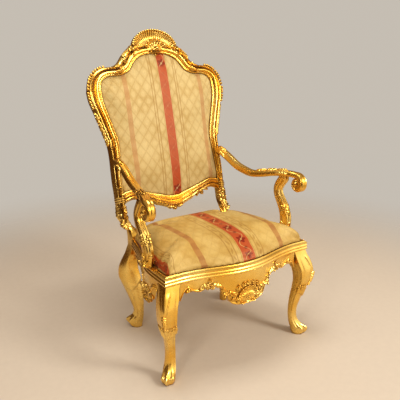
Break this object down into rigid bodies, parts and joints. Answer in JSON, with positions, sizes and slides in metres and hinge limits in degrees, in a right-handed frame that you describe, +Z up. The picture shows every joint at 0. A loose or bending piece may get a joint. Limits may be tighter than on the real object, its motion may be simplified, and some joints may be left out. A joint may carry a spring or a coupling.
{
  "type": "throne",
  "caption": "Gilded rococo armchair with a carved shell crest, open scrolled arms, cabriole legs and a stuffed damask seat and back.",
  "frame": {"origin": "on the floor, under the middle of the chair's overall box", "axes": "+Z up, +Y towards the back, +X to the right of someone who faces the chair"},
  "size_m": [0.7486, 0.7589, 1.2802],
  "materials": {
    "gilding": "gold leaf over carved wood, glossy",
    "damask": "striped silk damask",
    "backing": "plain woven cloth"
  },
  "bodies": {
    "root": {"front_leg_left": "gilding", "front_leg_right": "gilding", "rear_post_left": "gilding", "rear_post_right": "gilding", "crest_rail": "gilding", "lower_back_rail": "gilding", "front_seat_rail": "gilding", "side_seat_rail_left": "gilding", "side_seat_rail_right": "gilding", "rear_seat_rail": "gilding", "arm_left": "gilding", "arm_right": "gilding", "arm_support_left": "gilding", "arm_support_right": "gilding", "seat_cushion": "damask", "back_pad": "damask", "outside_back": "backing", "seat_board": "backing"}
  },
  "joints": []
}
